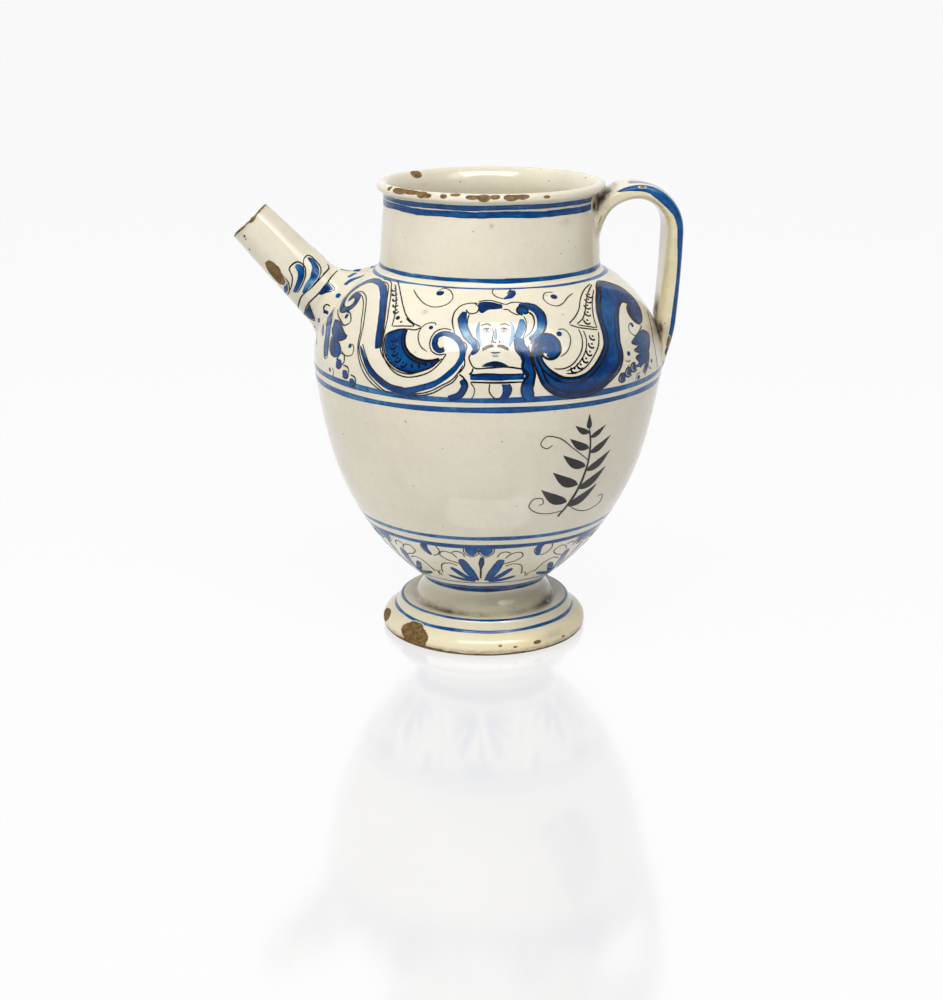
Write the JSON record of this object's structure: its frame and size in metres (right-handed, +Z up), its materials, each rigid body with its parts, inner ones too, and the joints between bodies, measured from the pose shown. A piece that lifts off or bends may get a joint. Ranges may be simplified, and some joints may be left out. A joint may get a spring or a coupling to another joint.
{
  "type": "wet drug jar",
  "caption": "Glazed earthenware syrup jar: egg-shaped bowl on a pedestal foot, open neck with a flared lip, slanting tube spout and strap handle.",
  "frame": {"origin": "centre of the ring that the foot stands on, at floor height", "axes": "+Z up the jar's axis, +X towards the handle, -X towards the spout, -Y towards the viewer"},
  "size_m": [0.1925, 0.152, 0.2],
  "materials": {
    "tin_glaze": "glossy cream tin glaze on earthenware, painted in cobalt blue",
    "slip": "glossy cream tin glaze over luting slip"
  },
  "bodies": {
    "root": {"bowl": "tin_glaze", "neck": "tin_glaze", "foot": "tin_glaze", "spout": "tin_glaze", "spout_collar": "tin_glaze", "handle_strap": "tin_glaze", "handle_pad": "tin_glaze", "handle_tail": "tin_glaze", "neck_luting": "slip", "foot_luting": "slip"}
  },
  "joints": []
}
